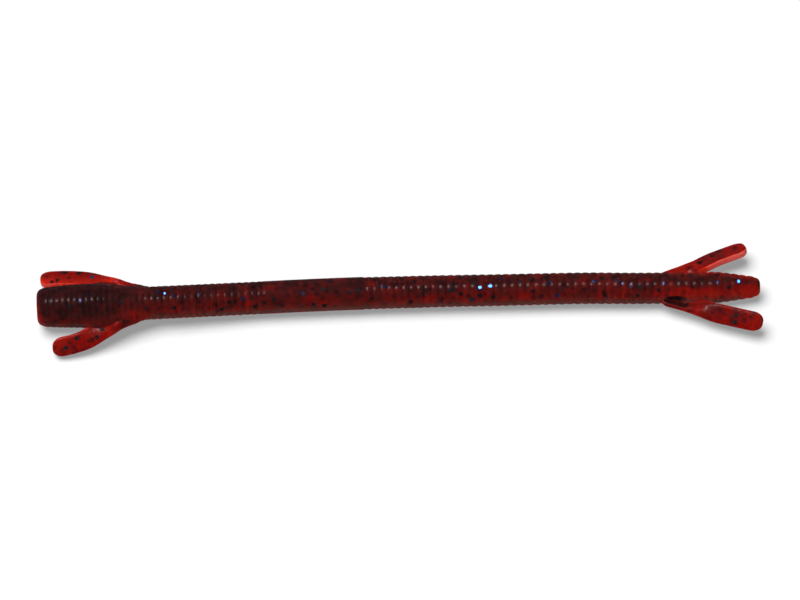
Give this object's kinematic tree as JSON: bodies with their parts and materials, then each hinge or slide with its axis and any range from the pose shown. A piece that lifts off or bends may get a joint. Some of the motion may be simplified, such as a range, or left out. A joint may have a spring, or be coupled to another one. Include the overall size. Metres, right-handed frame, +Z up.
{
  "type": "soft plastic worm",
  "caption": "Ribbed soft plastic fishing worm with a blunt bulb head, smooth saddle, tapering tail and flat arms at both ends that bend and flutter, with glitter flakes.",
  "frame": {"origin": "on the surface the worm lies on, under the middle of its box", "axes": "+X along the worm from head to tail, +Z up from the surface, -Y the worm's left side, nearest in the picture"},
  "size_m": [0.1397, 0.0196, 0.0085],
  "materials": {
    "red_plastic": "gloss, translucent soft plastisol",
    "black_film": "glossy cut film",
    "blue_film": "metallised cut film"
  },
  "bodies": {
    "saddle": {"saddle": "red_plastic", "black_flakes_saddle": "black_film", "blue_flakes_saddle": "blue_film"},
    "head": {"head": "red_plastic", "black_flakes_head": "black_film", "blue_flakes_head": "blue_film"},
    "tail": {"tail": "red_plastic", "black_flakes_tail": "black_film", "blue_flakes_tail": "blue_film"},
    "front_body_1": {"front_body_1": "red_plastic", "black_flakes_front_body_1": "black_film", "blue_flakes_front_body_1": "blue_film"},
    "front_body_2": {"front_body_2": "red_plastic", "black_flakes_front_body_2": "black_film", "blue_flakes_front_body_2": "blue_film"},
    "rear_body_1": {"rear_body_1": "red_plastic", "black_flakes_rear_body_1": "black_film", "blue_flakes_rear_body_1": "blue_film"},
    "rear_body_2": {"rear_body_2": "red_plastic", "black_flakes_rear_body_2": "black_film", "blue_flakes_rear_body_2": "blue_film"},
    "rear_body_3": {"rear_body_3": "red_plastic", "black_flakes_rear_body_3": "black_film", "blue_flakes_rear_body_3": "blue_film"},
    "rear_body_4": {"rear_body_4": "red_plastic", "black_flakes_rear_body_4": "black_film", "blue_flakes_rear_body_4": "blue_film"},
    "head_arm_left_root": {"head_arm_left_root": "red_plastic"},
    "head_arm_left_blade": {"head_arm_left_blade": "red_plastic", "black_flakes_head_arm_left_blade": "black_film", "blue_flakes_head_arm_left_blade": "blue_film"},
    "head_arm_right_root": {"head_arm_right_root": "red_plastic"},
    "head_arm_right_blade": {"head_arm_right_blade": "red_plastic", "black_flakes_head_arm_right_blade": "black_film", "blue_flakes_head_arm_right_blade": "blue_film"},
    "tail_arm_left_root": {"tail_arm_left_root": "red_plastic"},
    "tail_arm_left_blade": {"tail_arm_left_blade": "red_plastic", "black_flakes_tail_arm_left_blade": "black_film", "blue_flakes_tail_arm_left_blade": "blue_film"},
    "tail_arm_right_root": {"tail_arm_right_root": "red_plastic"},
    "tail_arm_right_blade": {"tail_arm_right_blade": "red_plastic", "black_flakes_tail_arm_right_blade": "black_film", "blue_flakes_tail_arm_right_blade": "blue_film"}
  },
  "joints": [
    {"name": "front_1_side_bend", "type": "hinge", "parent": "saddle", "child": "front_body_1", "pos_m": [-0.02492, 0.00092, 0.00317], "axis": [0, 0, 1], "range_deg": [-30, 30], "stiffness_Nm_per_rad": 0.0012},
    {"name": "front_2_lift_bend", "type": "hinge", "parent": "front_body_1", "child": "front_body_2", "pos_m": [-0.03516, 0.00037, 0.00371], "axis": [0, 1, 0], "range_deg": [-25, 25], "stiffness_Nm_per_rad": 0.0012},
    {"name": "head_side_bend", "type": "hinge", "parent": "front_body_2", "child": "head", "pos_m": [-0.0454, -0.00017, 0.00425], "axis": [0, 0, 1], "range_deg": [-30, 30], "stiffness_Nm_per_rad": 0.0012},
    {"name": "rear_1_side_bend", "type": "hinge", "parent": "saddle", "child": "rear_body_1", "pos_m": [-0.00768, 0.0012, 0.00317], "axis": [0, 0, -1], "range_deg": [-30, 30], "stiffness_Nm_per_rad": 0.0009},
    {"name": "rear_2_lift_bend", "type": "hinge", "parent": "rear_body_1", "child": "rear_body_2", "pos_m": [0.00609, 0.00121, 0.00312], "axis": [0, -1, 0], "range_deg": [-25, 25], "stiffness_Nm_per_rad": 0.0009},
    {"name": "rear_3_side_bend", "type": "hinge", "parent": "rear_body_2", "child": "rear_body_3", "pos_m": [0.01986, 0.00108, 0.00309], "axis": [0, 0, -1], "range_deg": [-30, 30], "stiffness_Nm_per_rad": 0.0009},
    {"name": "rear_4_lift_bend", "type": "hinge", "parent": "rear_body_3", "child": "rear_body_4", "pos_m": [0.03363, 0.001, 0.00307], "axis": [0, -1, 0], "range_deg": [-25, 25], "stiffness_Nm_per_rad": 0.0009},
    {"name": "tail_side_bend", "type": "hinge", "parent": "rear_body_4", "child": "tail", "pos_m": [0.0474, 0.00057, 0.00305], "axis": [0, 0, -1], "range_deg": [-30, 30], "stiffness_Nm_per_rad": 0.0009},
    {"name": "head_arm_left_swing", "type": "hinge", "parent": "head", "child": "head_arm_left_root", "pos_m": [-0.0544, -0.00454, 0.00425], "axis": [0, 0, 1], "range_deg": [-4, 35], "stiffness_Nm_per_rad": 0.0001},
    {"name": "head_arm_left_flap", "type": "hinge", "parent": "head_arm_left_root", "child": "head_arm_left_blade", "pos_m": [-0.05896, -0.00657, 0.00298], "axis": [-0.2875, 0.8348, 0.4695], "range_deg": [-35, 35], "stiffness_Nm_per_rad": 0.00003},
    {"name": "head_arm_right_swing", "type": "hinge", "parent": "head", "child": "head_arm_right_root", "pos_m": [-0.0544, 0.00386, 0.00425], "axis": [0, 0, -1], "range_deg": [-4, 35], "stiffness_Nm_per_rad": 0.0001},
    {"name": "head_arm_right_flap", "type": "hinge", "parent": "head_arm_right_root", "child": "head_arm_right_blade", "pos_m": [-0.05901, 0.00577, 0.00298], "axis": [0.2918, 0.9254, -0.2419], "range_deg": [-35, 35], "stiffness_Nm_per_rad": 0.00003},
    {"name": "tail_arm_left_swing", "type": "hinge", "parent": "tail", "child": "tail_arm_left_root", "pos_m": [0.0552, -0.00351, 0.00305], "axis": [0, 0, -1], "range_deg": [-4, 35], "stiffness_Nm_per_rad": 0.0001},
    {"name": "tail_arm_left_flap", "type": "hinge", "parent": "tail_arm_left_root", "child": "tail_arm_left_blade", "pos_m": [0.05991, -0.00518, 0.0033], "axis": [-0.2875, -0.8348, -0.4695], "range_deg": [-35, 35], "stiffness_Nm_per_rad": 0.00003},
    {"name": "tail_arm_right_swing", "type": "hinge", "parent": "tail", "child": "tail_arm_right_root", "pos_m": [0.0552, 0.00409, 0.00305], "axis": [0, 0, 1], "range_deg": [-4, 35], "stiffness_Nm_per_rad": 0.0001},
    {"name": "tail_arm_right_flap", "type": "hinge", "parent": "tail_arm_right_root", "child": "tail_arm_right_blade", "pos_m": [0.05988, 0.00584, 0.0033], "axis": [0.302, -0.8297, 0.4695], "range_deg": [-35, 35], "stiffness_Nm_per_rad": 0.00003}
  ]
}
